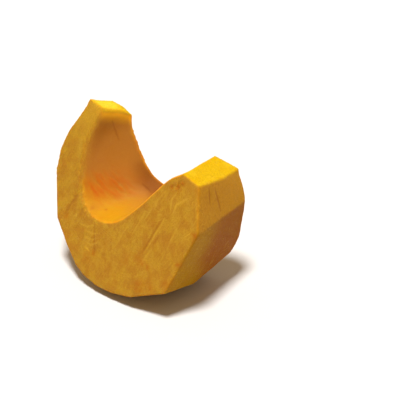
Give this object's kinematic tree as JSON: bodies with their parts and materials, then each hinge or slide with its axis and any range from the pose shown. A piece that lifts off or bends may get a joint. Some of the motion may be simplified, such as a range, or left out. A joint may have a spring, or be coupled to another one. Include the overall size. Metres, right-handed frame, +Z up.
{
  "type": "peeled pumpkin",
  "caption": "Thick C-shaped wedge of peeled raw pumpkin with a scooped-out seed hollow, standing on a flat spot of its rounded belly with its cut ends up.",
  "frame": {"origin": "middle of the bounding box, on the ground that the wedge stands on", "axes": "+Z up, -Y towards the side the picture was taken from, +X to the right in the picture"},
  "size_m": [0.174, 0.1472, 0.1666],
  "materials": {
    "pumpkin_flesh": "satin, moist"
  },
  "bodies": {
    "root": {"pumpkin_wedge": "pumpkin_flesh"}
  },
  "joints": []
}
